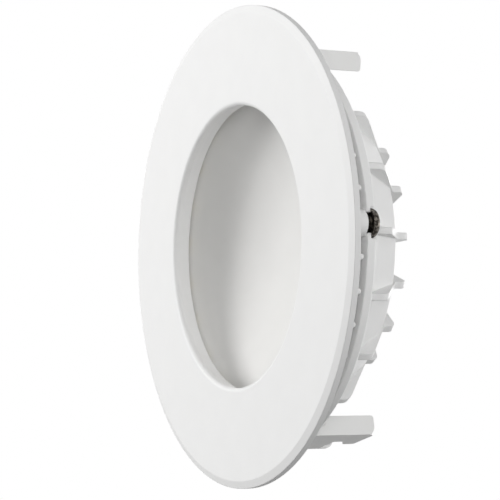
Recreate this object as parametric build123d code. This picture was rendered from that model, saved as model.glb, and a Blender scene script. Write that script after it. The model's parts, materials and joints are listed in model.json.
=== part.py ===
from build123d import *
import os
from math import acos, atan2, ceil, cos, degrees, dist, hypot, pi, sin, sqrt, tau

# Recessed indirect LED downlight with three sprung ceiling arms, in millimetres.
# The visible front face lies in z = 0 and +Z goes up into the ceiling.
# Corners of outlines are (across, up, rounding).

# Trim ring
RIM_RADIUS = 62.5
RIM_OVERHANG = 8.5
RIM_THICKNESS = 2.25
BEVEL_WIDTH = 1.9
BEVEL_RISE = 0.72
HOLE_EDGE_ROUND = 1.0
LIP_HEIGHT = 4.9
LIP_DRAFT = 0.85
LIP_WALL = 0.95
FACE_THICKNESS = 3.0
SKIRT_WALL = 1.8
SKIRT_DROP = 1.8
SEAT_INSET = 5.0
SEAT_WALL = 2.3
SEAT_HEIGHT = 8.8

# Nubs on the skirt
NUB_RADIUS = 0.8
NUB_HEIGHT = 1.4
NUB_PITCH_DEG = 9.0

# Screws that join the housing to the trim ring
TRIM_SCREW_COUNT = 3
BOSS_RADIUS = 3.35
BOSS_INSET = 0.15
TRIM_SCREW_RADIUS = 1.5
TRIM_SCREW_DEPTH = 4.8
TRIM_NECK_RADIUS = 2.3
TRIM_HEAD_RADIUS = 3.7
TRIM_HEAD_HEIGHT = 2.1
TRIM_LAND = 1.4

# Rounding of a screw head as a share of its height, and its cross recess as shares of its radius
HEAD_ROUNDING = 0.6
CROSS_REACH = 0.6
CROSS_HALF_WIDTH = 0.12

# Reflector dome
DOME_RIM_WIDTH = 3.9
DOME_RIM_THICKNESS = 2.2
DOME_LEDGE = 1.0
DOME_DEPTH = 14.0
DOME_WALL = 1.0

# Light source under the ring
CHANNEL_WIDTH = 7.05
PAD_THICKNESS = 0.4
BOARD_THICKNESS = 1.2
BOARD_MARGIN = 0.7
CHIP_COUNT = 24
CHIP_LENGTH = 3.0
CHIP_WIDTH = 2.8
CHIP_HEIGHT = 0.8
BOARD_SCREW_COUNT = 3
BOARD_SCREW_RADIUS = 0.95
BOARD_SCREW_BITE = 1.4
BOARD_HEAD_RADIUS = 1.7
BOARD_HEAD_HEIGHT = 1.2

# Heat sink housing
SEAL_THICKNESS = 0.6
SEAL_MARGIN = 0.2
FLANGE_INSET = 1.5
FLANGE_THICKNESS = 3.0
FLANGE_LEAD = 2.5
FLANGE_BEVEL = 0.5
BODY_WALL = 2.6
BODY_SHOULDER = 4.2
CONE_INSET = 7.9
REAR_ROOM = 2.7
HOUSING_WALL = 2.0
BODY_ROUND = 2.0

# Ribs of the housing
RIB_FIRST_DEG = 1.25
RIB_PITCH_DEG = 20.0
RIB_GAP_BEFORE_DEG = 15.0
RIB_GAP_AFTER_DEG = 25.0
RIB_THICKNESS = 1.8
RIB_SETBACK = 5.3
RIB_FLARE = 3.0
RIB_SHOULDER = 7.4
RIB_PROUD = 1.5
RIB_TIP_INSET = 1.8
RIB_INNER_RADIUS = 16.0
RIB_REAR_HEIGHT = 5.0
RIB_ROUND = 3.5
RIB_NOTCH_ROUND = 0.8
RIB_TIP_ROUND = 1.8
RIB_BURY = 0.7

# Spring arms: angle about the lamp and the side of the hinge that the long plate is on
ARM_LAYOUT = {"a": (-80.0, 1), "b": (80.0, -1), "c": (180.0, 1)}
ARM_INSET = 2.0
ARM_DEPTH = 5.0
ARM_WIDTH = 17.3
ARM_PLATE = 1.0
ARM_REACH = 15.1
ARM_DROP = 2.4
HEEL_RADIUS = 2.4
EAR_HEIGHT = 11.6
HIP_HEIGHT = 7.5
HOOK_HEIGHT = 10.1
HOOK_SLANT = 1.8
HOOK_WIDTH = 11.8
NECK_WIDTH = 8.5
TIP_ROUND = 2.2
TIP_SMALL_ROUND = 0.8

# Hinge of an arm
PIN_INSET = 3.3
PIN_ROOM = 4.3
PIN_RADIUS = 0.8
PIN_HEAD_RADIUS = 1.4
PIN_HEAD_HEIGHT = 0.6
PIN_RISE = 4.4
BRACKET_SHEET = 0.8
BRACKET_CHEEK = 1.6
BRACKET_RISE = 3.0
POCKET_SINK = 1.6
POCKET_WALL = 2.4
BRACKET_SCREW_RADIUS = 1.0
BRACKET_SCREW_LENGTH = 2.0
BRACKET_HEAD_RADIUS = 1.7
BRACKET_SLOT_WIDTH = 0.6
BRACKET_SLOT_DEPTH = 0.35

# Torsion spring of an arm
WIRE_RADIUS = 0.35
COIL_TURNS = 4
SPANS_PER_TURN = 4
COIL_GAP = 0.4
SPRING_LEG = 7.0
SPRING_FOOT = 2.4

# Cable inlet
GROMMET_BORE_RADIUS = 2.6
GROMMET_NECK_RADIUS = 4.9
GROMMET_COLLAR_RADIUS = 7.5
GROMMET_COLLAR_HEIGHT = 1.5
GROMMET_TAIL_RADIUS = 4.0
GROMMET_TAIL_HEIGHT = 2.1
GROMMET_BARB_RADIUS = 6.2
GROMMET_BARB_HEIGHT = 1.0

# Small roundings, and the straight stretch left between two of them
EDGE_ROUND = 0.5
ROUND_SPARE = 0.2

# Clearances
FIT_GAP = 0.05
PRESS_GAP = 0.02
LOOSE_GAP = 0.2
SIDE_GAP = 0.3
TOOL_GAP = 0.5

# Radii that follow from the rim inwards
SKIRT_RADIUS = RIM_RADIUS - RIM_OVERHANG
BOSS_DISTANCE = SKIRT_RADIUS - BOSS_INSET - BOSS_RADIUS
SEAT_RADIUS = SKIRT_RADIUS - SEAT_INSET
DOME_RECESS = SEAT_RADIUS - SEAT_WALL
DOME_RIM_RADIUS = DOME_RECESS - LOOSE_GAP
DOME_MOUTH_RADIUS = DOME_RIM_RADIUS - DOME_RIM_WIDTH
DOME_SPHERE = (DOME_MOUTH_RADIUS**2 + DOME_DEPTH**2) / (2 * DOME_DEPTH)
CHANNEL_OUTER = DOME_RIM_RADIUS - DOME_LEDGE
CHANNEL_INNER = CHANNEL_OUTER - CHANNEL_WIDTH
HOLE_RADIUS = CHANNEL_INNER - LIP_WALL - LIP_DRAFT
BOARD_INNER = CHANNEL_INNER + BOARD_MARGIN
BOARD_OUTER = CHANNEL_OUTER - BOARD_MARGIN
BOARD_MIDDLE = (BOARD_INNER + BOARD_OUTER) / 2
FLANGE_RADIUS = SKIRT_RADIUS - FLANGE_INSET
BODY_RADIUS = DOME_MOUTH_RADIUS + BODY_WALL
BODY_REAR_RADIUS = BODY_RADIUS - CONE_INSET
RIB_OUTER_RADIUS = FLANGE_RADIUS - RIB_SETBACK
RIB_TIP_RADIUS = BODY_REAR_RADIUS - RIB_TIP_INSET
ARM_OUTER_RADIUS = SKIRT_RADIUS - ARM_INSET
PIN_DISTANCE = ARM_OUTER_RADIUS - PIN_INSET
POCKET_FLAT = PIN_DISTANCE - PIN_ROOM
BRACKET_FRONT = POCKET_FLAT + BRACKET_SHEET

# Levels that follow from the front face upwards
SKIRT_HEIGHT = SEAT_HEIGHT - SKIRT_DROP
BOARD_TOP = FACE_THICKNESS + PAD_THICKNESS + BOARD_THICKNESS
FLANGE_FRONT = SEAT_HEIGHT + SEAL_THICKNESS
FLANGE_REAR = FLANGE_FRONT + FLANGE_THICKNESS
TRIM_HEAD_SEAT = FLANGE_FRONT + TRIM_LAND
DOME_SEAT = FLANGE_FRONT - DOME_RIM_THICKNESS
SHOULDER_LEVEL = FLANGE_REAR + BODY_SHOULDER
CAVITY_SHOULDER = SHOULDER_LEVEL - HOUSING_WALL / 2
CAVITY_REAR = DOME_SEAT + DOME_DEPTH + DOME_WALL + REAR_ROOM
BODY_REAR = CAVITY_REAR + HOUSING_WALL
POCKET_FLOOR = FLANGE_REAR - POCKET_SINK
PIN_LEVEL = POCKET_FLOOR + PIN_RISE

# Widths of the hinge and the coil
BRACKET_HALF = ARM_WIDTH / 2 - ARM_PLATE - SIDE_GAP
PIN_HALF = ARM_WIDTH / 2 + LOOSE_GAP
POCKET_HALF = PIN_HALF + PIN_HEAD_HEIGHT + TOOL_GAP
COIL_RADIUS = PIN_INSET - ARM_PLATE - SIDE_GAP - WIRE_RADIUS
COIL_PITCH = 2 * WIRE_RADIUS + COIL_GAP
FAR_OUT = 2 * RIM_RADIUS


def outline(corners, place):
    """Closed outline through corners, each set in space by place(across, up)."""
    points = [place(across, up) for across, up, _ in corners]
    roundings = [rounding for _, _, rounding in corners]
    return make_face(FilletPolyline(*points, radius=roundings, close=True).edges())


def turned(*corners):
    """Solid turned about the lamp's axis."""
    return revolve(outline(corners, lambda radius, up: (radius, 0, up)), Axis.Z)


def washer(inner, outer, low, high):
    """Flat ring about the lamp's axis."""
    return turned((inner, low, 0), (outer, low, 0), (outer, high, 0), (inner, high, 0))


def post(radius, low, high, across=0.0):
    """Upright round post, across millimetres out along X."""
    return Pos(across, 0, low) * Cylinder(radius, high - low, align=(Align.CENTER, Align.CENTER, Align.MIN))


def block(x_range, half_width, z_range):
    """Box over an X range and a Z range, centred on Y."""
    size = Box(x_range[1] - x_range[0], 2 * half_width, z_range[1] - z_range[0], align=Align.MIN)
    return Pos(x_range[0], -half_width, z_range[0]) * size


def side_plate(corners, low, high):
    """Plate square to Y, from low to high, with an (x, z) outline."""
    face = outline(corners, lambda across, up: (across, low, up))
    return extrude(face, amount=high - low, dir=(0, 1, 0))


def face_plate(corners, low, high):
    """Plate square to X, from low to high, with a (y, z) outline."""
    face = outline(corners, lambda across, up: (low, across, up))
    return extrude(face, amount=high - low, dir=(1, 0, 0))


def around(shape, count, first=0.0):
    """Copies of a shape, evenly spaced about the lamp's axis."""
    return [Rot(0, 0, first + 360 * k / count) * shape for k in range(count)]


def turn_from(first, second):
    """Turn from one direction to another, from -180 to 180 degrees."""
    return (second - first + 180) % 360 - 180


def at_arm(shape, arm):
    """Shape made for an arm on +X, carried round to its place and mirrored for a left-hand arm."""
    angle, hand = ARM_LAYOUT[arm]
    handed = shape if hand > 0 else mirror(shape, Plane.XZ)
    return Rot(0, 0, angle) * handed


def pan_head(radius, height, low):
    """Rounded screw head with a cross recess, on the Z axis."""
    top = low + height
    head = turned((0, low, 0), (radius, low, 0), (radius, top, height * HEAD_ROUNDING), (0, top, 0))
    reach = radius * CROSS_REACH
    slot = block((-reach, reach), radius * CROSS_HALF_WIDTH, (low + height / 2, low + 2 * height))
    return head - slot - Rot(0, 0, 90) * slot


def trim_ring():
    """Flat bevelled ring with its hole lip, LED channel, seat wall, outer skirt, nubs and screw bosses."""
    ring = turned(
        (HOLE_RADIUS, 0, HOLE_EDGE_ROUND),
        (RIM_RADIUS - BEVEL_WIDTH, 0, 0),
        (RIM_RADIUS, BEVEL_RISE, 0),
        (RIM_RADIUS, RIM_THICKNESS, 0),
        (SKIRT_RADIUS, RIM_THICKNESS, 0),
        (SKIRT_RADIUS, SKIRT_HEIGHT, 0),
        (SKIRT_RADIUS - SKIRT_WALL, SKIRT_HEIGHT, 0),
        (SKIRT_RADIUS - SKIRT_WALL, FACE_THICKNESS, 0),
        (SEAT_RADIUS, FACE_THICKNESS, 0),
        (SEAT_RADIUS, SEAT_HEIGHT, 0),
        (DOME_RECESS, SEAT_HEIGHT, 0),
        (DOME_RECESS, DOME_SEAT, 0),
        (CHANNEL_OUTER, DOME_SEAT, 0),
        (CHANNEL_OUTER, FACE_THICKNESS, 0),
        (CHANNEL_INNER, FACE_THICKNESS, 0),
        (CHANNEL_INNER, LIP_HEIGHT, 0),
        (HOLE_RADIUS + LIP_DRAFT, LIP_HEIGHT, 0),
        (HOLE_RADIUS, HOLE_EDGE_ROUND + BEVEL_RISE, 0),
    )
    boss = post(BOSS_RADIUS, FACE_THICKNESS / 2, FLANGE_FRONT, BOSS_DISTANCE)
    boss -= post(DOME_RECESS, DOME_SEAT, FLANGE_FRONT) + post(SEAT_RADIUS, SEAT_HEIGHT, FLANGE_FRONT)
    thread = post(TRIM_SCREW_RADIUS + FIT_GAP, FLANGE_FRONT - TRIM_SCREW_DEPTH, FLANGE_FRONT, BOSS_DISTANCE)
    bite_end = FACE_THICKNESS - BOARD_SCREW_BITE
    bite = post(BOARD_SCREW_RADIUS + FIT_GAP, bite_end, FACE_THICKNESS, BOARD_MIDDLE)
    ring += around(boss, TRIM_SCREW_COUNT) + nubs()
    return ring - around(thread, TRIM_SCREW_COUNT) - around(bite, BOARD_SCREW_COUNT)


def nubs():
    """Round-topped nubs along the skirt's rear edge, left out at the screw bosses."""
    middle = SKIRT_RADIUS - SKIRT_WALL / 2
    straight = SKIRT_HEIGHT + NUB_HEIGHT - NUB_RADIUS
    nub = post(NUB_RADIUS, SKIRT_HEIGHT - NUB_RADIUS, straight, middle)
    nub += Pos(middle, 0, straight) * Sphere(NUB_RADIUS)
    room = degrees((BOSS_RADIUS + NUB_RADIUS + SIDE_GAP) / BOSS_DISTANCE)
    bosses = [360 * k / TRIM_SCREW_COUNT for k in range(TRIM_SCREW_COUNT)]
    angles = [k * NUB_PITCH_DEG for k in range(round(360 / NUB_PITCH_DEG))]
    free = [angle for angle in angles if all(abs(turn_from(boss, angle)) > room for boss in bosses)]
    return [Rot(0, 0, angle) * nub for angle in free]


def reflector_dome():
    """Shallow spherical bowl with a flat rim that the housing clamps on the trim ring."""
    shell = Sphere(DOME_SPHERE + DOME_WALL) - Sphere(DOME_SPHERE)
    bowl = Pos(0, 0, DOME_SEAT + DOME_DEPTH - DOME_SPHERE) * shell
    rim = washer(DOME_MOUTH_RADIUS, DOME_RIM_RADIUS, DOME_SEAT, FLANGE_FRONT)
    return rim + (bowl & post(DOME_RIM_RADIUS, DOME_SEAT, FAR_OUT))


def light_source():
    """Thermal pad, LED board, its chips and its screws, by node name."""
    pad_top = FACE_THICKNESS + PAD_THICKNESS
    holes = around(
        post(BOARD_SCREW_RADIUS + LOOSE_GAP, FACE_THICKNESS, BOARD_TOP, BOARD_MIDDLE), BOARD_SCREW_COUNT
    )
    chip = Pos(BOARD_MIDDLE, 0, BOARD_TOP) * Box(
        CHIP_LENGTH, CHIP_WIDTH, CHIP_HEIGHT, align=(Align.CENTER, Align.CENTER, Align.MIN)
    )
    screw = pan_head(BOARD_HEAD_RADIUS, BOARD_HEAD_HEIGHT, BOARD_TOP)
    screw += post(BOARD_SCREW_RADIUS, FACE_THICKNESS - BOARD_SCREW_BITE + FIT_GAP, BOARD_TOP)
    return {
        "thermal_pad": washer(BOARD_INNER, BOARD_OUTER, FACE_THICKNESS, pad_top) - holes,
        "led_board": washer(BOARD_INNER, BOARD_OUTER, pad_top, BOARD_TOP) - holes,
        "led_chips": Compound(children=around(chip, CHIP_COUNT, 180 / CHIP_COUNT)),
        "board_screws": Compound(children=around(Pos(BOARD_MIDDLE, 0, 0) * screw, BOARD_SCREW_COUNT)),
    }


def housing_seal():
    """Flat ring gasket between the trim ring's seat wall and the housing."""
    return washer(DOME_RECESS + SEAL_MARGIN, SEAT_RADIUS - SEAL_MARGIN, SEAT_HEIGHT, FLANGE_FRONT)


def housing_rib():
    """One radial rib: a flared foot, up the side, down the cone and across the rear face."""
    root = BODY_REAR - RIB_BURY
    foot = FLANGE_REAR - FLANGE_BEVEL
    buried = BODY_RADIUS - BODY_WALL / 2
    corners = (
        (RIB_OUTER_RADIUS + RIB_FLARE, foot, 0),
        (RIB_OUTER_RADIUS + RIB_FLARE, FLANGE_REAR, 0),
        (RIB_OUTER_RADIUS, FLANGE_REAR + RIB_FLARE, RIB_NOTCH_ROUND),
        (RIB_OUTER_RADIUS, FLANGE_REAR + RIB_SHOULDER, RIB_ROUND),
        (RIB_TIP_RADIUS, BODY_REAR + RIB_PROUD, RIB_NOTCH_ROUND),
        (RIB_TIP_RADIUS, BODY_REAR + RIB_REAR_HEIGHT, RIB_TIP_ROUND),
        (RIB_INNER_RADIUS, BODY_REAR + RIB_REAR_HEIGHT, RIB_TIP_ROUND),
        (RIB_INNER_RADIUS, root, 0),
        (BODY_REAR_RADIUS - HOUSING_WALL, root, 0),
        (buried, CAVITY_SHOULDER, 0),
        (buried, foot, 0),
    )
    return side_plate(corners, -RIB_THICKNESS / 2, RIB_THICKNESS / 2)


def rib_angles():
    """Angles of the ribs, with a gap at each arm that is wider on the arm's far side."""
    angles = [RIB_FIRST_DEG + k * RIB_PITCH_DEG for k in range(round(360 / RIB_PITCH_DEG))]
    taken = []
    for arm, _ in ARM_LAYOUT.values():
        turns = {angle: turn_from(arm, angle) for angle in angles}
        taken += [angle for angle in angles if -RIB_GAP_BEFORE_DEG < turns[angle] < RIB_GAP_AFTER_DEG]
    return [angle for angle in angles if angle not in taken]


def heat_sink_housing():
    """Ribbed cast cup that closes the lamp, with pockets for the arms and open slots for the screws."""
    body = turned(
        (0, FLANGE_FRONT, 0),
        (FLANGE_RADIUS - FLANGE_LEAD, FLANGE_FRONT, 0),
        (FLANGE_RADIUS, FLANGE_FRONT + FLANGE_BEVEL, 0),
        (FLANGE_RADIUS, FLANGE_REAR - FLANGE_BEVEL, 0),
        (FLANGE_RADIUS - FLANGE_BEVEL, FLANGE_REAR, 0),
        (BODY_RADIUS, FLANGE_REAR, 0),
        (BODY_RADIUS, SHOULDER_LEVEL, BODY_ROUND),
        (BODY_REAR_RADIUS, BODY_REAR, BODY_ROUND),
        (0, BODY_REAR, 0),
    )
    cavity = turned(
        (0, FLANGE_FRONT, 0),
        (DOME_MOUTH_RADIUS, FLANGE_FRONT, 0),
        (DOME_MOUTH_RADIUS, CAVITY_SHOULDER, BODY_ROUND),
        (BODY_REAR_RADIUS - HOUSING_WALL, CAVITY_REAR, BODY_ROUND),
        (0, CAVITY_REAR, 0),
    )
    backing = block(
        (POCKET_FLAT - POCKET_WALL, POCKET_FLAT), POCKET_HALF, (FLANGE_FRONT + TOOL_GAP, CAVITY_REAR)
    )
    pocket = block((POCKET_FLAT, FAR_OUT), POCKET_HALF, (POCKET_FLOOR, BODY_REAR))
    ear = post(BOSS_RADIUS, FLANGE_FRONT, TRIM_HEAD_SEAT, BOSS_DISTANCE)
    ear &= post(FLANGE_RADIUS - FLANGE_BEVEL, FLANGE_FRONT, TRIM_HEAD_SEAT)
    neck = TRIM_NECK_RADIUS + LOOSE_GAP
    slot = post(neck, FLANGE_FRONT, TRIM_HEAD_SEAT, BOSS_DISTANCE)
    slot += block((BOSS_DISTANCE, FAR_OUT), neck, (FLANGE_FRONT, TRIM_HEAD_SEAT))
    driver = post(TRIM_HEAD_RADIUS + TOOL_GAP, TRIM_HEAD_SEAT, FAR_OUT, BOSS_DISTANCE)
    inlet = post(GROMMET_NECK_RADIUS + FIT_GAP, CAVITY_REAR, BODY_REAR)
    housing = body - (cavity - [at_arm(backing, arm) for arm in ARM_LAYOUT])
    housing += [Rot(0, 0, angle) * housing_rib() for angle in rib_angles()]
    housing += around(ear, TRIM_SCREW_COUNT)
    housing -= [at_arm(pocket + bracket_screw(FIT_GAP), arm) for arm in ARM_LAYOUT]
    return housing - around(driver + slot, TRIM_SCREW_COUNT) - inlet


def trim_screws():
    """Dark shoulder screws: a rounded head on the flange, a neck in its slot and a thread in the boss."""
    screw = pan_head(TRIM_HEAD_RADIUS, TRIM_HEAD_HEIGHT, TRIM_HEAD_SEAT)
    screw += post(TRIM_NECK_RADIUS, FLANGE_FRONT, TRIM_HEAD_SEAT)
    screw += post(TRIM_SCREW_RADIUS, FLANGE_FRONT - TRIM_SCREW_DEPTH + FIT_GAP, FLANGE_FRONT)
    return Compound(children=around(Pos(BOSS_DISTANCE, 0, 0) * screw, TRIM_SCREW_COUNT))


def cable_grommet():
    """Rubber cable inlet, snapped into the hole in the housing's rear wall."""
    collar_top = BODY_REAR + GROMMET_COLLAR_HEIGHT
    return turned(
        (GROMMET_BORE_RADIUS, CAVITY_REAR - GROMMET_BARB_HEIGHT, 0),
        (GROMMET_BARB_RADIUS, CAVITY_REAR - GROMMET_BARB_HEIGHT, 0),
        (GROMMET_BARB_RADIUS, CAVITY_REAR, 0),
        (GROMMET_NECK_RADIUS, CAVITY_REAR, 0),
        (GROMMET_NECK_RADIUS, BODY_REAR, 0),
        (GROMMET_COLLAR_RADIUS, BODY_REAR, 0),
        (GROMMET_COLLAR_RADIUS, collar_top, EDGE_ROUND),
        (GROMMET_NECK_RADIUS, collar_top, EDGE_ROUND),
        (GROMMET_TAIL_RADIUS, collar_top + GROMMET_TAIL_HEIGHT, EDGE_ROUND),
        (GROMMET_BORE_RADIUS, collar_top + GROMMET_TAIL_HEIGHT, 0),
    )


def along_pin(radius, low, high):
    """Round bar on the hinge axis of an arm on +X."""
    bar = Cylinder(radius, high - low, align=(Align.CENTER, Align.CENTER, Align.MIN))
    return Pos(PIN_DISTANCE, low, PIN_LEVEL) * Rot(-90, 0, 0) * bar


def arm_bracket():
    """Pressed U bracket on the pocket's flat wall, with a countersunk hole and two cheeks for the pin."""
    cheek_round = BRACKET_CHEEK - ROUND_SPARE
    cheek_corners = (
        (POCKET_FLAT, PIN_LEVEL - BRACKET_CHEEK, 0),
        (PIN_DISTANCE + BRACKET_CHEEK, PIN_LEVEL - BRACKET_CHEEK, cheek_round),
        (PIN_DISTANCE + BRACKET_CHEEK, PIN_LEVEL + BRACKET_CHEEK, cheek_round),
        (POCKET_FLAT, PIN_LEVEL + BRACKET_CHEEK, 0),
    )
    back_levels = (POCKET_FLOOR, PIN_LEVEL + BRACKET_RISE)
    bracket = block((POCKET_FLAT, BRACKET_FRONT), BRACKET_HALF, back_levels)
    cheek = side_plate(cheek_corners, BRACKET_HALF - BRACKET_SHEET, BRACKET_HALF)
    bracket += [cheek, mirror(cheek, Plane.XZ)]
    bracket -= along_pin(PIN_RADIUS + PRESS_GAP, -BRACKET_HALF, BRACKET_HALF)
    return bracket - bracket_screw(FIT_GAP)


def on_bracket(shape):
    """Shape made on the Z axis, turned onto a bracket's screw axis with z = 0 at the pocket's flat wall."""
    return Pos(POCKET_FLAT, 0, PIN_LEVEL) * Rot(0, 90, 0) * shape


def bracket_screw(gap=0.0):
    """Countersunk screw of a bracket, or with a gap the hole for it."""
    neck = BRACKET_SCREW_RADIUS + gap
    cone = turned(
        (0, 0, 0),
        (neck, 0, 0),
        (BRACKET_HEAD_RADIUS + gap, BRACKET_SHEET, 0),
        (0, BRACKET_SHEET, 0),
    )
    return on_bracket(cone + post(neck, -BRACKET_SCREW_LENGTH - gap, 0))


def slotted_bracket_screw():
    """Bracket screw with a driver slot."""
    slot = block(
        (-BRACKET_HEAD_RADIUS, BRACKET_HEAD_RADIUS),
        BRACKET_SLOT_WIDTH / 2,
        (BRACKET_SHEET - BRACKET_SLOT_DEPTH, BRACKET_SHEET),
    )
    return bracket_screw() - on_bracket(slot)


def arm_pin():
    """Hinge pin in the bracket's cheeks, with a head by the arm's ear and a flush end in its side plate."""
    head = along_pin(PIN_HEAD_RADIUS, -PIN_HALF - PIN_HEAD_HEIGHT, -PIN_HALF)
    return along_pin(PIN_RADIUS, -PIN_HALF, ARM_WIDTH / 2) + head


def arm_side(top):
    """Outline corners of an arm's side plate, from its rounded heel up to top."""
    inner = ARM_OUTER_RADIUS - ARM_DEPTH
    return (
        (PIN_DISTANCE - HEEL_RADIUS, PIN_LEVEL - HEEL_RADIUS, HEEL_RADIUS - ROUND_SPARE),
        (ARM_OUTER_RADIUS, PIN_LEVEL - ARM_DROP, 0),
        (ARM_OUTER_RADIUS, top, TIP_ROUND),
        (inner, top, TIP_SMALL_ROUND),
        (inner, PIN_LEVEL + HEEL_RADIUS, 0),
        (PIN_DISTANCE - HEEL_RADIUS, PIN_LEVEL + HEEL_RADIUS - ARM_PLATE, 0),
    )


def spring_arm():
    """Pressed arm: a long side plate, an outer face that ends in a hook, and an ear on the far side."""
    half = ARM_WIDTH / 2
    tip = PIN_LEVEL + ARM_REACH
    hip = PIN_LEVEL + HIP_HEIGHT
    hook = PIN_LEVEL + HOOK_HEIGHT
    face_corners = (
        (half, PIN_LEVEL - ARM_DROP, 0),
        (half, tip, TIP_ROUND),
        (half - HOOK_WIDTH, tip, TIP_SMALL_ROUND),
        (half - HOOK_WIDTH, hook + HOOK_SLANT, EDGE_ROUND),
        (half - NECK_WIDTH, hook, EDGE_ROUND),
        (half - NECK_WIDTH, hip, EDGE_ROUND),
        (-half, hip, 0),
        (-half, PIN_LEVEL - ARM_DROP, 0),
    )
    arm = side_plate(arm_side(tip), half - ARM_PLATE, half)
    arm += face_plate(face_corners, ARM_OUTER_RADIUS - ARM_PLATE, ARM_OUTER_RADIUS)
    arm += side_plate(arm_side(PIN_LEVEL + EAR_HEIGHT), -half, ARM_PLATE - half)
    return arm - along_pin(PIN_RADIUS + FIT_GAP, -half, half)


def biarc(start, start_way, end, end_way):
    """Two arcs from start to end that leave and arrive along the given unit directions."""
    chord = end - start
    lean = chord.dot(start_way + end_way)
    bend = 2 * (1 - start_way.dot(end_way))
    reach = (sqrt(lean**2 + bend * chord.dot(chord)) - lean) / bend
    joint = (start + end + (start_way - end_way) * reach) * 0.5
    first = TangentArc(start, joint, tangent=start_way)
    return [first, TangentArc(joint, end, tangent=first % 1)]


def spring_path():
    """Edges of a torsion spring's wire: a leg on the bracket, the coil, and a leg up the arm."""
    foot_across = BRACKET_FRONT + SIDE_GAP + WIRE_RADIUS - PIN_DISTANCE
    foot_reach = hypot(foot_across, SPRING_FOOT)
    first_turn = atan2(SPRING_FOOT, foot_across) + acos(COIL_RADIUS / foot_reach)
    sweep_angle = tau * COIL_TURNS - (first_turn - tau if first_turn > pi else first_turn)
    rise = COIL_PITCH / tau
    slant = hypot(COIL_RADIUS, rise)
    start_y = -rise * sweep_angle / 2

    def coil_point(turned_by):
        angle = sweep_angle - turned_by
        middle = Vector(PIN_DISTANCE, start_y + rise * turned_by, PIN_LEVEL)
        return middle + Vector(cos(angle), 0, -sin(angle)) * COIL_RADIUS

    def coil_way(turned_by):
        angle = sweep_angle - turned_by
        return Vector(sin(angle) * COIL_RADIUS, rise, cos(angle) * COIL_RADIUS) * (1 / slant)

    spans = ceil(SPANS_PER_TURN * sweep_angle / tau)
    stops = [sweep_angle * k / spans for k in range(spans + 1)]
    leg_start = coil_point(0) - coil_way(0) * sqrt(foot_reach**2 - COIL_RADIUS**2)
    edges = [Line(leg_start, coil_point(0))]
    for low, high in zip(stops, stops[1:]):
        edges += biarc(coil_point(low), coil_way(low), coil_point(high), coil_way(high))
    edges.append(Line(coil_point(sweep_angle), coil_point(sweep_angle) + coil_way(sweep_angle) * SPRING_LEG))
    return edges


def least_wire_gap(edges, steps=12):
    """Smallest gap between stretches of the wire that are over half a turn apart."""
    points = [tuple(edge @ (k / steps)) for edge in edges for k in range(steps)]
    reach = len(points)
    apart = steps * (SPANS_PER_TURN + 1)
    gaps = [dist(points[i], points[j]) for i in range(reach) for j in range(i + apart, reach)]
    return min(gaps) - 2 * WIRE_RADIUS


def arm_spring():
    """Torsion spring wound round the hinge pin."""
    edges = spring_path()
    print(f"arm spring: least gap of the wire to itself {least_wire_gap(edges):.2f} mm")
    section = Plane(origin=edges[0] @ 0, z_dir=edges[0] % 0) * Circle(WIRE_RADIUS)
    return sweep(section, path=Wire(edges))


def all_parts():
    """Every node of the lamp by name."""
    parts = {
        "trim_ring": trim_ring(),
        "reflector_dome": reflector_dome(),
        **light_source(),
        "housing_seal": housing_seal(),
        "heat_sink_housing": heat_sink_housing(),
        "trim_screws": trim_screws(),
        "cable_grommet": cable_grommet(),
        "bracket_screws": Compound(children=[at_arm(slotted_bracket_screw(), arm) for arm in ARM_LAYOUT]),
    }
    hinge = {
        "arm_bracket": arm_bracket(),
        "arm_pin": arm_pin(),
        "spring_arm": spring_arm(),
        "arm_spring": arm_spring(),
    }
    for arm in ARM_LAYOUT:
        parts.update({f"{name}_{arm}": at_arm(shape, arm) for name, shape in hinge.items()})
    return parts


os.makedirs("parts", exist_ok=True)
for node, shape in all_parts().items():
    export_step(shape, f"parts/{node}.step")
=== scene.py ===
import json
import logging
from dataclasses import dataclass
from enum import Enum
from math import acos, atan2, cos, hypot, pi, radians, sin, sqrt, tau
from typing import Any, Iterator, List, Mapping, Optional, Sequence, Tuple, Union

import bpy
import numpy as np
from mathutils import Matrix, Vector


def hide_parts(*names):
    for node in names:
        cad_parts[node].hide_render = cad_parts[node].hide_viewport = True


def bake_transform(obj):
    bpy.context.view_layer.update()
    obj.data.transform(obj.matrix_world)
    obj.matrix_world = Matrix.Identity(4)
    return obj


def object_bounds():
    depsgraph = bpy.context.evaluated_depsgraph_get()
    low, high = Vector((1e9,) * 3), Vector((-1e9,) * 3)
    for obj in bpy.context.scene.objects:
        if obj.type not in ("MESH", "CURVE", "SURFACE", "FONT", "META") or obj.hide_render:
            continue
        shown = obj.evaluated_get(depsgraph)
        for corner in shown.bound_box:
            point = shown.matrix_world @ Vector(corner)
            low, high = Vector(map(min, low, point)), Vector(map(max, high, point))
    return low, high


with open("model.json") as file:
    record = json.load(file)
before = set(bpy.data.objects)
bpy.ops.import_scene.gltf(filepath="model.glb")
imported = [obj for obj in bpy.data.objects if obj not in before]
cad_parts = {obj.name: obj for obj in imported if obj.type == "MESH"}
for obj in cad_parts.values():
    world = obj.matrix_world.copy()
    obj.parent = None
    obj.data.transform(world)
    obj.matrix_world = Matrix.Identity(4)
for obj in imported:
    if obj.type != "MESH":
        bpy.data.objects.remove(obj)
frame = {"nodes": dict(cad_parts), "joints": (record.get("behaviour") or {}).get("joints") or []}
CAD_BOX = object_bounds()

LOG = logging.getLogger("downlight")
MM = 0.001
MIDDLE = 0.5

Colour = Tuple[float, float, float]
Feed = Union["Socket", float, Sequence[float]]


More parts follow.
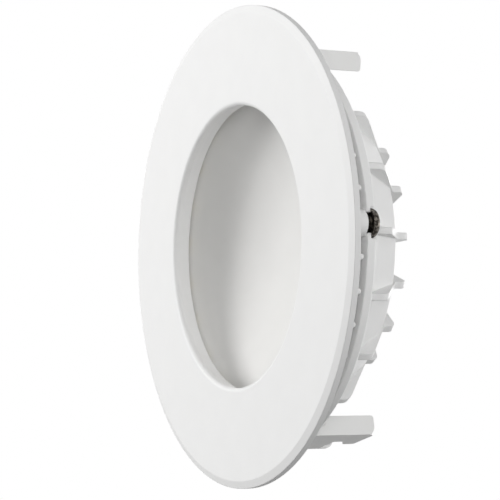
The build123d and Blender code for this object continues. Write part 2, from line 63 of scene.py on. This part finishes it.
class Socket:
    """One output socket of a node tree. Arithmetic on it adds Math nodes to the tree."""

    def __init__(self, tree: bpy.types.NodeTree, output: Optional[bpy.types.NodeSocket]) -> None:
        """Keeps the tree and the socket.

        Args:
            tree: Node tree that the socket is in.
            output: The socket itself, or None for a node that ends a tree.
        """
        self.tree = tree
        self.output = output

    @staticmethod
    def find(sockets: Any, key: str) -> bpy.types.NodeSocket:
        """Finds a socket by its identifier, or else by its name.

        Args:
            sockets: Inputs or outputs of a node.
            key: Identifier or name.

        Returns:
            The first socket that fits.
        """
        by_identifier = [one for one in sockets if one.identifier == key]
        return (by_identifier or [one for one in sockets if one.name == key])[0]

    @classmethod
    def node(
        cls,
        tree: bpy.types.NodeTree,
        kind: str,
        output: str = "",
        feeds: Optional[Mapping[str, Feed]] = None,
        settings: Optional[Mapping[str, Any]] = None,
    ) -> "Socket":
        """Adds any node to a tree.

        Args:
            tree: Node tree to add to.
            kind: Blender's name for the node type.
            output: Output socket to return, or nothing for a node that ends the tree.
            feeds: Values or links of its input sockets.
            settings: Properties of the node, set before its sockets.

        Returns:
            The chosen output socket.
        """
        made = tree.nodes.new(kind)
        for key, value in (settings or {}).items():
            setattr(made, key, value)
        for key, value in (feeds or {}).items():
            entry = cls.find(made.inputs, key)
            if isinstance(value, Socket):
                tree.links.new(value.output, entry)
            else:
                entry.default_value = value
        return cls(tree, cls.find(made.outputs, output) if output else None)

    def math(self, operation: str, first: Feed, second: Feed = 0.0) -> "Socket":
        """Adds a Math node.

        Args:
            operation: Name of the operation.
            first: First operand.
            second: Second operand.

        Returns:
            The node's value.
        """
        feeds = {"Value": first, "Value_001": second}
        return Socket.node(self.tree, "ShaderNodeMath", "Value", feeds, {"operation": operation})

    def __add__(self, other: Feed) -> "Socket":
        """Sum of two values."""
        return self.math("ADD", self, other)

    def __radd__(self, other: Feed) -> "Socket":
        """Sum with a number on the left."""
        return self.math("ADD", other, self)

    def __sub__(self, other: Feed) -> "Socket":
        """Difference of two values."""
        return self.math("SUBTRACT", self, other)

    def __rsub__(self, other: Feed) -> "Socket":
        """Difference with a number on the left."""
        return self.math("SUBTRACT", other, self)

    def __mul__(self, other: Feed) -> "Socket":
        """Product of two values."""
        return self.math("MULTIPLY", self, other)

    def __rmul__(self, other: Feed) -> "Socket":
        """Product with a number on the left."""
        return self.math("MULTIPLY", other, self)

    def above(self, level: Feed) -> "Socket":
        """One where the value is over a level, else zero."""
        return self.math("GREATER_THAN", self, level)

    def below(self, level: Feed) -> "Socket":
        """One where the value is under a level, else zero."""
        return self.math("LESS_THAN", self, level)

    def size(self) -> "Socket":
        """The value without its sign."""
        return self.math("ABSOLUTE", self)

    def fraction(self) -> "Socket":
        """What is left of the value above its whole number."""
        return self.math("FRACT", self)

    def root(self) -> "Socket":
        """Square root of the value."""
        return self.math("SQRT", self)


@dataclass(frozen=True)
class Finish:
    """Base of every finish: a record slot, a colour and the tools to build its material."""

    slot: str
    colour: Colour
    roughness: float
    swing: float = 0.15
    edge_mm: float = 0.15
    edge_samples: int = 6

    def start(self) -> bpy.types.NodeTree:
        """Makes an empty material for this finish.

        Returns:
            The material's node tree.
        """
        made = bpy.data.materials.new(self.title())
        made.use_nodes = True
        made.node_tree.nodes.clear()
        return made.node_tree

    def title(self) -> str:
        """Name of this finish's material."""
        return f"{self.slot}_finish"

    def place(self, tree: bpy.types.NodeTree) -> Socket:
        """Object coordinates, which hold the lamp's own frame in metres."""
        return Socket.node(tree, "ShaderNodeTexCoord", "Object")

    def noise(self, tree: bpy.types.NodeTree, at: Socket, grain_mm: float, detail: float = 2.0) -> Socket:
        """Noise with grains of a given size.

        Args:
            tree: Node tree to add to.
            at: Coordinates.
            grain_mm: Size of a grain in millimetres.
            detail: Octaves of finer noise.

        Returns:
            Value from 0 to 1, mostly near one half.
        """
        feeds = {"Vector": at, "Scale": 1.0 / (grain_mm * MM), "Detail": detail}
        return Socket.node(tree, "ShaderNodeTexNoise", "Fac", feeds)

    def axes(self, tree: bpy.types.NodeTree, at: Socket) -> Tuple[Socket, Socket, Socket]:
        """The three coordinates of a place as separate values."""
        return tuple(Socket.node(tree, "ShaderNodeSeparateXYZ", axis, {"Vector": at}) for axis in "XYZ")

    def tint(self, tree: bpy.types.NodeTree, share: Feed, under: Feed, over: Colour) -> Socket:
        """Colour laid over another one by a mask.

        Args:
            tree: Node tree to add to.
            share: Share of the upper colour.
            under: Colour at share 0.
            over: Colour at share 1.

        Returns:
            The mixed colour.
        """
        first = under if isinstance(under, Socket) else (*under, 1.0)
        feeds = {"Factor_Float": share, "A_Color": first, "B_Color": (*over, 1.0)}
        return Socket.node(tree, "ShaderNodeMix", "Result_Color", feeds, {"data_type": "RGBA"})

    def shade(self, factor: float) -> Colour:
        """This finish's colour, lighter or darker by a factor."""
        return tuple(min(1.0, part * factor) for part in self.colour)

    def uneven(self, grain: Socket) -> Socket:
        """Roughness that swings about this finish's own with a grain from 0 to 1."""
        return self.roughness + self.swing * (grain - MIDDLE)

    def relief(self, tree: bpy.types.NodeTree, height: Socket, depth_mm: float) -> Socket:
        """Normal with a fine relief, over edges that are softened by this finish's edge radius.

        Args:
            tree: Node tree to add to.
            height: Relief from 0 to 1.
            depth_mm: Depth of the relief in millimetres.

        Returns:
            The new normal.
        """
        rounding = {"Radius": self.edge_mm * MM}
        soft = Socket.node(tree, "ShaderNodeBevel", "Normal", rounding, {"samples": self.edge_samples})
        feeds = {"Height": height, "Distance": depth_mm * MM, "Strength": 1.0, "Normal": soft}
        return Socket.node(tree, "ShaderNodeBump", "Normal", feeds)

    def close(self, tree: bpy.types.NodeTree, feeds: Mapping[str, Feed]) -> bpy.types.Material:
        """Joins a Principled shader to the material's output.

        Args:
            tree: Node tree of the material.
            feeds: Values or links of the shader's sockets.

        Returns:
            The finished material.
        """
        shader = Socket.node(tree, "ShaderNodeBsdfPrincipled", "BSDF", feeds)
        Socket.node(tree, "ShaderNodeOutputMaterial", feeds={"Surface": shader})
        return bpy.data.materials[self.title()]

    def material(self) -> bpy.types.Material:
        """Builds the material; each kind of finish has its own."""
        raise NotImplementedError


@dataclass(frozen=True)
class PowderCoat(Finish):
    """Baked white powder coat: a faint mottle, an orange-peel skin, a few flecks and soft edges."""

    swing: float = 0.12
    edge_mm: float = 0.3
    peel_mm: float = 0.55
    peel_depth_mm: float = 0.012
    mottle_mm: float = 7.0
    mottle: float = 0.02
    fleck_level: float = 0.72
    fleck_share: float = 0.35
    fleck_shade: float = 0.93
    specular: float = 0.4

    def material(self) -> bpy.types.Material:
        """Builds the coat: mottled colour, noise in the roughness and a peel relief on soft edges.

        Returns:
            The material.
        """
        tree = self.start()
        at = self.place(tree)
        cloud = self.noise(tree, at, self.mottle_mm)
        peel = self.noise(tree, at, self.peel_mm)
        fleck = self.noise(tree, at, self.peel_mm / 2).above(self.fleck_level)
        clouded = self.tint(tree, cloud, self.shade(1 - self.mottle), self.shade(1 + self.mottle))
        flecked = self.tint(tree, fleck * self.fleck_share, clouded, self.shade(self.fleck_shade))
        return self.close(
            tree,
            {
                "Base Color": flecked,
                "Roughness": self.uneven(peel),
                "Specular IOR Level": self.specular,
                "Normal": self.relief(tree, peel, self.peel_depth_mm),
            },
        )


@dataclass(frozen=True)
class Steel(Finish):
    """Bare or plated steel with a second tone in noise streaks: wear, and on the dark screw heads painted
    glints.
    """

    swing: float = 0.2
    edge_mm: float = 0.12
    wear_and_glint: Colour = (0.4, 0.38, 0.35)
    streak_mm: float = 0.7
    streak_detail: float = 4.0
    streak_level: float = 0.38
    streak_contrast: float = 1.1
    grain_mm: float = 0.14
    relief_mm: float = 0.01

    def material(self) -> bpy.types.Material:
        """Builds the metal: two tones by noise, with a finer grain in the roughness and the relief.

        Returns:
            The material.
        """
        tree = self.start()
        at = self.place(tree)
        streak = self.noise(tree, at, self.streak_mm, self.streak_detail)
        grain = self.noise(tree, at, self.grain_mm)
        share = (streak - self.streak_level) * self.streak_contrast
        return self.close(
            tree,
            {
                "Base Color": self.tint(tree, share, self.colour, self.wear_and_glint),
                "Metallic": 1.0,
                "Roughness": self.uneven(grain),
                "Normal": self.relief(tree, grain, self.relief_mm),
            },
        )


@dataclass(frozen=True)
class Rubber(Finish):
    """Soft moulded rubber with a fine bloom on its skin."""

    edge_mm: float = 0.2
    skin_mm: float = 0.35
    skin_depth_mm: float = 0.015
    bloom_mm: float = 3.0
    bloom: float = 0.08
    specular: float = 0.3

    def material(self) -> bpy.types.Material:
        """Builds the rubber: a bloom in the colour and a fine skin relief.

        Returns:
            The material.
        """
        tree = self.start()
        at = self.place(tree)
        cloud = self.noise(tree, at, self.bloom_mm)
        skin = self.noise(tree, at, self.skin_mm)
        return self.close(
            tree,
            {
                "Base Color": self.tint(tree, cloud, self.shade(1 - self.bloom), self.shade(1 + self.bloom)),
                "Roughness": self.uneven(skin),
                "Specular IOR Level": self.specular,
                "Normal": self.relief(tree, skin, self.skin_depth_mm),
            },
        )


@dataclass(frozen=True)
class SolderMask(Finish):
    """White solder mask over two ring tracks that show through as faint ridges."""

    swing: float = 0.1
    track_radius_mm: Tuple[float, float] = (40.4, 43.5)
    track_width_mm: float = 0.8
    track_rise_mm: float = 0.05
    track_shade: float = 0.94
    skin_mm: float = 0.4
    mottle: float = 0.02

    def material(self) -> bpy.types.Material:
        """Builds the mask: a track is where the distance from the lamp's axis is near its radius.

        Returns:
            The material.
        """
        tree = self.start()
        at = self.place(tree)
        x, y, _ = self.axes(tree, at)
        distance = (x * x + y * y).root()
        half = self.track_width_mm * MM / 2
        inner, outer = ((distance - radius * MM).size().below(half) for radius in self.track_radius_mm)
        tracks = inner + outer
        skin = self.noise(tree, at, self.skin_mm)
        colour = self.tint(tree, skin, self.shade(1 - self.mottle), self.shade(1 + self.mottle))
        return self.close(
            tree,
            {
                "Base Color": self.tint(tree, tracks, colour, self.shade(self.track_shade)),
                "Roughness": self.uneven(skin),
                "Normal": self.relief(tree, tracks, self.track_rise_mm),
            },
        )


@dataclass(frozen=True)
class Phosphor(Finish):
    """LED chip: a round window of yellow gel in a white frame."""

    swing: float = 0.2
    frame_colour: Colour = (0.85, 0.85, 0.82)
    ring_radius_mm: float = 41.98
    count: int = 24
    window_mm: float = 1.15
    gel_mm: float = 0.3
    gel_depth_mm: float = 0.005
    mottle: float = 0.06

    def material(self) -> bpy.types.Material:
        """Builds the chip: its own place comes from the angle within one chip's share of the turn.

        Returns:
            The material.
        """
        tree = self.start()
        at = self.place(tree)
        x, y, _ = self.axes(tree, at)
        pitch = tau / self.count
        distance = (x * x + y * y).root()
        turn = (x.math("ARCTAN2", y, x) * (1 / pitch) + self.count).fraction() - MIDDLE
        along = turn * pitch * distance
        across = distance - self.ring_radius_mm * MM
        surround = (along * along + across * across).root().above(self.window_mm * MM)
        gel = self.noise(tree, at, self.gel_mm)
        yellow = self.tint(tree, gel, self.shade(1 - self.mottle), self.shade(1 + self.mottle))
        return self.close(
            tree,
            {
                "Base Color": self.tint(tree, surround, yellow, self.frame_colour),
                "Roughness": self.uneven(surround),
                "Normal": self.relief(tree, gel, self.gel_depth_mm),
            },
        )


TRIM_COAT = PowderCoat("trim_white", (0.85, 0.85, 0.845), 0.55)
HOUSING_COAT = PowderCoat(
    "housing_white", (0.835, 0.835, 0.83), 0.5, edge_mm=0.45, peel_mm=0.8, peel_depth_mm=0.02
)
DOME_COAT = PowderCoat(
    "reflector_white", (0.865, 0.86, 0.845), 0.85, peel_mm=0.3, peel_depth_mm=0.006, specular=0.2
)
ARM_COAT = PowderCoat("arm_white", (0.86, 0.86, 0.85), 0.5, edge_mm=0.2, peel_mm=0.45)
# Dark screw heads: the lighter second tone in the noise streaks is painted glint, light spots that stand in
# for highlights on the dark metal.
DARK_STEEL = Steel(
    "dark_steel",
    (0.025, 0.022, 0.019),
    0.42,
    wear_and_glint=(0.36, 0.33, 0.29),
    streak_mm=0.9,
    streak_level=0.46,
    streak_contrast=2.6,
)
ZINC_STEEL = Steel("zinc_steel", (0.60, 0.60, 0.58), 0.32, wear_and_glint=(0.45, 0.45, 0.46))
SPRING_WIRE = Steel("spring_steel", (0.52, 0.52, 0.51), 0.28, wear_and_glint=(0.34, 0.33, 0.32), streak_mm=0.5)
BOARD_MASK = SolderMask("board_white", (0.82, 0.83, 0.82), 0.35)
CHIP_GEL = Phosphor("led_phosphor", (0.83, 0.66, 0.16), 0.35)
HEAT_PAD = Rubber("pad_grey", (0.42, 0.43, 0.45), 0.8)
SEAL_RUBBER = Rubber("seal_grey", (0.52, 0.52, 0.51), 0.7)
GROMMET_RUBBER = Rubber("grommet_rubber", (0.66, 0.66, 0.65), 0.65)


def dress(node: str, finish: Finish) -> str:
    """Gives a CAD node its finish.

    Args:
        node: Name of the node.
        finish: Finish that it takes.

    Returns:
        The node's name.
    """
    found = bpy.data.materials.get(finish.title()) or finish.material()
    for place in frame["nodes"][node].material_slots:
        place.material = found
    return node


def tube(name: str, path: np.ndarray, axis: np.ndarray, radius: float, sides: int) -> bpy.types.Object:
    """Closed round wire along a path.

    A ring of points stands square to the path at each of its points: path + radius * (cos t * across +
    sin t * out), where out is the part of axis that is square to the path. A single point closes each end.

    Args:
        name: Name of the piece.
        path: Points of the wire's middle, one per row.
        axis: Direction that is never along the path.
        radius: Radius of the wire.
        sides: Points in a ring.

    Returns:
        The new object.
    """
    way = np.gradient(path, axis=0)
    way /= np.linalg.norm(way, axis=1, keepdims=True)
    out = axis - (way @ axis)[:, None] * way
    out /= np.linalg.norm(out, axis=1, keepdims=True)
    across = np.cross(way, out)
    turn = np.linspace(0, tau, sides, endpoint=False)[None, :, None]
    rings = path[:, None] + radius * (np.cos(turn) * across[:, None] + np.sin(turn) * out[:, None])
    points = np.concatenate([rings.reshape(-1, 3), path[:1], path[-1:]])
    count = len(path)
    row, column = np.meshgrid(np.arange(count - 1), np.arange(sides), indexing="ij")
    after = (column + 1) % sides
    near, far = row * sides, (row + 1) * sides
    quads = np.stack([near + column, near + after, far + after, far + column], -1)
    ring = np.arange(sides)
    following = (ring + 1) % sides
    last = (count - 1) * sides
    start_cap = np.stack([following, ring, np.full(sides, count * sides)], -1)
    end_cap = np.stack([last + ring, last + following, np.full(sides, count * sides + 1)], -1)
    mesh = bpy.data.meshes.new(name)
    faces = quads.reshape(-1, 4).tolist() + start_cap.tolist() + end_cap.tolist()
    mesh.from_pydata(points.tolist(), [], faces)
    mesh.update()
    mesh.polygons.foreach_set("use_smooth", np.ones(len(mesh.polygons), bool))
    piece = bpy.data.objects.new(name, mesh)
    bpy.context.scene.collection.objects.link(piece)
    return piece


@dataclass
class LampFront:
    """Trim ring and the dome behind its hole."""

    ring: str = "trim_ring"
    dome: str = "reflector_dome"

    def build(self) -> Iterator[str]:
        """Dresses the ring and the dome, and gives their names."""
        yield dress(self.ring, TRIM_COAT)
        yield dress(self.dome, DOME_COAT)


@dataclass
class LightSource:
    """LED board with its chips, pad and screws, hidden behind the ring's lip."""

    def build(self) -> Iterator[str]:
        """Dresses the pieces of the light source, and gives their names."""
        yield dress("led_board", BOARD_MASK)
        yield dress("led_chips", CHIP_GEL)
        yield dress("thermal_pad", HEAT_PAD)
        yield dress("board_screws", ZINC_STEEL)


@dataclass
class RearHousing:
    """Ribbed casting with its seal, its screws and the cable inlet."""

    def build(self) -> Iterator[str]:
        """Dresses the pieces of the rear, and gives their names."""
        yield dress("heat_sink_housing", HOUSING_COAT)
        yield dress("housing_seal", SEAL_RUBBER)
        yield dress("trim_screws", DARK_STEEL)
        yield dress("bracket_screws", ZINC_STEEL)
        yield dress("cable_grommet", GROMMET_RUBBER)


class Hand(Enum):
    """Side of the pin that an arm's long plate is on."""

    LEFT = -1
    RIGHT = 1


@dataclass
class CeilingArm:
    """Folding arm on its bracket, with the torsion spring that opens it."""

    letter: str
    hand: Hand
    coil_radius: float = 1.65 * MM
    wire_radius: float = 0.35 * MM
    pitch: float = 1.1 * MM
    turns: int = 4
    foot_across: float = -2.85 * MM
    foot_up: float = 2.4 * MM
    leg: float = 7.0 * MM
    sides: int = 20
    steps: int = 260
    foot_steps: int = 12
    tail_steps: int = 14
    leg_start: float = 0.04

    def joint(self) -> Mapping[str, Any]:
        """The arm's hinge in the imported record."""
        return next(one for one in frame["joints"] if one["child"] == f"arm_{self.letter}")

    def wire_path(self) -> Tuple[np.ndarray, float]:
        """Middle of the spring's wire for an arm on +X, about its pin, with the pin along Y.

        A straight leg touches the coil, the coil is a helix of the coil radius with a steady pitch, and a
        second leg leaves it upwards.

        Returns:
            Points as rows of across, along the pin and up, and the coil's length along the pin.
        """
        reach = hypot(self.foot_across, self.foot_up)
        first = atan2(self.foot_up, self.foot_across) + acos(self.coil_radius / reach)
        sweep = tau * self.turns - (first - tau if first > pi else first)
        length = self.pitch * sweep / tau
        turned = np.linspace(0, sweep, self.steps)
        angle = sweep - turned
        along = length * (turned / sweep - MIDDLE)
        coil = np.stack([np.cos(angle) * self.coil_radius, along, -np.sin(angle) * self.coil_radius], -1)
        way_in = np.array([sin(sweep), 0, cos(sweep)])
        foot_share = np.linspace(1, self.leg_start, self.foot_steps)[:, None]
        tail_share = np.linspace(self.leg_start, 1, self.tail_steps)[:, None]
        foot = coil[0] - way_in * sqrt(reach**2 - self.coil_radius**2) * foot_share
        tail = coil[-1] + np.array([0, 0, self.leg]) * tail_share
        return np.concatenate([foot, coil, tail]), length

    def spring(self) -> str:
        """Makes the spring and sets it on its pin.

        Returns:
            The piece's name.
        """
        hinge = self.joint()
        pin = np.array(hinge["pos_m"])
        along = np.array(hinge["axis"]) * self.hand.value
        across = np.array([pin[0], pin[1], 0]) / hypot(pin[0], pin[1])
        local, length = self.wire_path()
        path = pin + local @ np.stack([across, along, np.array([0, 0, 1.0])])
        node = f"arm_spring_{self.letter}"
        piece = tube(f"torsion_spring_{self.letter}", path, along, self.wire_radius, self.sides)
        piece.data.materials.append(bpy.data.materials.get(SPRING_WIRE.title()) or SPRING_WIRE.material())
        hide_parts(node)
        inside = along * (length / 2 - self.wire_radius)
        tuple(pin - inside)
        tuple(pin + inside)
        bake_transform(piece)
        return piece.name

    def build(self) -> Iterator[str]:
        """Dresses the arm's own pieces, makes its spring and gives their names."""
        yield dress(f"spring_arm_{self.letter}", ARM_COAT)
        yield dress(f"arm_bracket_{self.letter}", ARM_COAT)
        yield dress(f"arm_pin_{self.letter}", ARM_COAT)
        yield self.spring()


@dataclass(frozen=True)
class SoftBox:
    """Square studio light that faces the lamp."""

    name: str
    toward: Tuple[float, float, float]
    watts: float
    size: float = 0.5
    distance: float = 1.2


@dataclass
class Studio:
    """Camera, lights, floor and white surroundings.

    Directions are (side, top, front) as the camera frames the lamp: side is the way its visible flank faces,
    top is up in the picture and front is the way its face looks.
    """

    flank_deg: float = 7.25
    camera_turn: float = 1.1104
    camera_roll: float = -0.0264
    camera_distance: float = 0.5365
    lens_mm: float = 148.9
    sensor_mm: float = 36.0
    shift: Tuple[float, float] = (0.0339, -0.0070)
    clip_start: float = 0.01
    surround: float = 0.11
    floor_half: float = 1.5
    floor_drop: float = 0.0004
    floor_colour: Colour = (0.86, 0.86, 0.86)
    boxes: Tuple[SoftBox, ...] = (
        SoftBox("key", (-0.6, 0.28, 0.74), 7.7),
        SoftBox("fill", (-0.45, 0.2, 0.87), 3.3, size=0.45),
        SoftBox("low_fill", (-0.5, -0.5, 0.7), 1.5),
        SoftBox("overhead", (0.1, 0.95, 0.3), 1.6),
        SoftBox("flank", (0.85, 0.05, 0.4), 4.6),
        SoftBox("high_flank", (0.75, 0.65, 0.0), 1.8),
        SoftBox("rear", (0.35, 0.0, -0.9), 6.4),
        SoftBox("far_rear", (-0.7, 0.0, -0.7), 5.0, size=0.6),
    )

    def basis(self) -> np.ndarray:
        """Rows are the side, top and front directions in the lamp's frame."""
        turn = radians(self.flank_deg)
        return np.array([[cos(turn), sin(turn), 0], [sin(turn), -cos(turn), 0], [0, 0, -1.0]])

    def camera(self) -> str:
        """Sets the camera at the viewing angle, with the roll and framing that go with it.

        Returns:
            The camera's name.
        """
        side, top, front = self.basis()
        back = sin(self.camera_turn) * side + cos(self.camera_turn) * front
        level = cos(self.camera_turn) * side - sin(self.camera_turn) * front
        right = cos(self.camera_roll) * level - sin(self.camera_roll) * top
        up = sin(self.camera_roll) * level + cos(self.camera_roll) * top
        data = bpy.data.cameras.new("main_camera")
        data.sensor_width = self.sensor_mm
        data.lens = self.lens_mm
        data.shift_x, data.shift_y = self.shift
        data.clip_start = self.clip_start
        made = bpy.data.objects.new("main_camera", data)
        turn = Matrix([right, up, back]).transposed().to_4x4()
        made.matrix_world = Matrix.Translation(Vector(back * self.camera_distance)) @ turn
        bpy.context.scene.collection.objects.link(made)
        bpy.context.scene.camera = made
        return made.name

    def light(self, box: SoftBox) -> str:
        """Hangs one soft box so that it faces the lamp.

        Args:
            box: The soft box.

        Returns:
            The light's name.
        """
        data = bpy.data.lights.new(box.name, "AREA")
        data.energy = box.watts
        data.size = box.size
        made = bpy.data.objects.new(box.name, data)
        way = Vector(np.array(box.toward) @ self.basis()).normalized()
        made.location = way * box.distance
        made.rotation_mode = "QUATERNION"
        made.rotation_quaternion = (-way).to_track_quat("-Z", "Y")
        bpy.context.scene.collection.objects.link(made)
        return made.name

    def floor(self) -> str:
        """Lays a pale floor under the lamp, seen from above only and never in the light's way.

        Returns:
            The floor's name.
        """
        corner = self.floor_half * np.array([[-1, -1], [1, -1], [1, 1], [-1, 1]])
        level = np.full((4, 1), CAD_BOX[0].z - self.floor_drop)
        mesh = bpy.data.meshes.new("floor")
        mesh.from_pydata(np.hstack([corner, level]).tolist(), [], [(0, 1, 2, 3)])
        material = bpy.data.materials.new("floor_paint")
        material.use_nodes = True
        tree = material.node_tree
        tree.nodes.clear()
        seen = Socket.node(tree, "ShaderNodeLightPath", "Is Camera Ray")
        under = Socket.node(tree, "ShaderNodeNewGeometry", "Backfacing")
        paint = Socket.node(tree, "ShaderNodeBsdfDiffuse", "BSDF", {"Color": (*self.floor_colour, 1.0)})
        clear = Socket.node(tree, "ShaderNodeBsdfTransparent", "BSDF")
        feeds = {"Fac": seen * (1 - under), "Shader": clear, "Shader_001": paint}
        mixed = Socket.node(tree, "ShaderNodeMixShader", "Shader", feeds)
        Socket.node(tree, "ShaderNodeOutputMaterial", feeds={"Surface": mixed})
        mesh.materials.append(material)
        made = bpy.data.objects.new("floor", mesh)
        bpy.context.scene.collection.objects.link(made)
        return made.name

    def surroundings(self) -> None:
        """Makes the world white where it is seen or mirrored, and a soft grey light elsewhere."""
        world = bpy.data.worlds.new("white_room")
        world.use_nodes = True
        tree = world.node_tree
        tree.nodes.clear()
        rays = [
            Socket.node(tree, "ShaderNodeLightPath", f"Is {kind} Ray")
            for kind in ("Camera", "Glossy", "Transmission")
        ]
        seen = rays[0].math("MAXIMUM", rays[0], rays[1].math("MAXIMUM", rays[1], rays[2]))
        strength = self.surround + (1 - self.surround) * seen
        feeds = {"Color": (1.0, 1.0, 1.0, 1.0), "Strength": strength}
        light = Socket.node(tree, "ShaderNodeBackground", "Background", feeds)
        Socket.node(tree, "ShaderNodeOutputWorld", feeds={"Surface": light})
        bpy.context.scene.world = world

    def build(self) -> Iterator[str]:
        """Sets up the studio and gives the names of what stands in it."""
        bpy.context.scene.view_settings.view_transform = "Standard"
        self.surroundings()
        yield self.camera()
        yield self.floor()
        for box in self.boxes:
            yield self.light(box)


def main() -> None:
    """Builds the lamp and its studio in order, and reports each piece."""
    logging.basicConfig(level=logging.INFO, format="%(name)s: %(message)s")
    groups: List[Any] = [
        LampFront(),
        LightSource(),
        RearHousing(),
        CeilingArm("a", Hand.RIGHT),
        CeilingArm("b", Hand.LEFT),
        CeilingArm("c", Hand.RIGHT),
        Studio(),
    ]
    for group in groups:
        for name in group.build():
            LOG.info("%s: %s", type(group).__name__, name)


if __name__ == "__main__":
    main()
